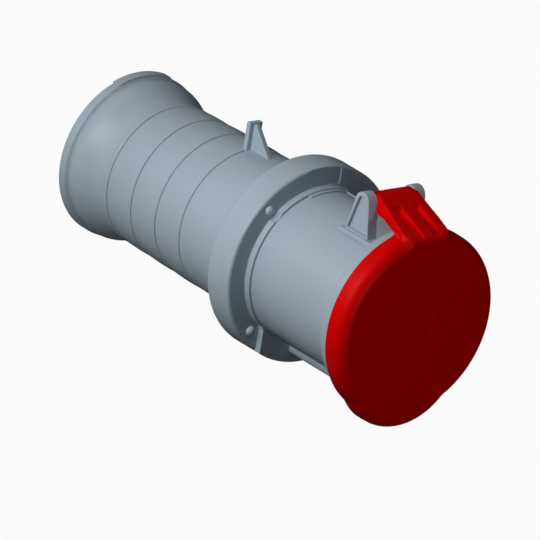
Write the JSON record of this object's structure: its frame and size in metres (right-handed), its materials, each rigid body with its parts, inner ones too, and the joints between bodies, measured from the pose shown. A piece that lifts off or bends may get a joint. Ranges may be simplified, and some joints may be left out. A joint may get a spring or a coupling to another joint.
{
  "type": "in-line power socket",
  "caption": "Round in-line industrial power socket with grooved handle, flared rear bell, collar with screws, keyed front tube and a hinged spring lid.",
  "frame": {"origin": "centre of the rear rim of the bell, on which the socket stands", "axes": "+Z along the axis of the socket to its mouth, +Y to the side of the lid hinge, X along the hinge pin"},
  "size_m": [0.111, 0.1241, 0.2514],
  "materials": {
    "grey_plastic": "satin moulded plastic",
    "screw_cap": "smooth",
    "insulator": "satin moulded plastic",
    "nut_plastic": "satin moulded plastic",
    "red_plastic": "satin moulded plastic",
    "black_rubber": "matte",
    "brass": "turned",
    "steel": "bright"
  },
  "bodies": {
    "socket": {"handle_shell": "grey_plastic", "front_housing": "grey_plastic", "housing_gasket": "black_rubber", "cover_screws": "screw_cap", "threaded_inserts": "brass", "contact_carrier": "insulator", "clamp_ring": "insulator", "carrier_screws": "steel", "terminal_block": "insulator", "block_screws": "steel", "contact_l1": "brass", "contact_l2": "brass", "contact_l3": "brass", "contact_neutral": "brass", "contact_earth": "brass", "contact_pilot": "brass", "sleeve_springs": "steel", "terminal_screws": "steel", "gland_seal": "black_rubber", "gland_washer": "steel", "hinge_pin": "steel", "lid_spring": "steel"},
    "nut": {"gland_nut": "nut_plastic"},
    "cover": {"lid": "red_plastic", "lid_seal": "black_rubber"}
  },
  "joints": [
    {"name": "lid_hinge", "type": "hinge", "parent": "socket", "child": "cover", "pos_m": [0, 0.0594, 0.2135], "axis": [-1, 0, 0], "range_deg": [0, 115], "stiffness_Nm_per_rad": 0.1, "springref_deg": -85.94, "deforming": ["lid_spring"]},
    {"name": "nut_turn", "type": "hinge", "parent": "socket", "child": "nut", "pos_m": [0, 0, 0.012], "axis": [0, 0, -1], "range_deg": [0, 540]}
  ]
}
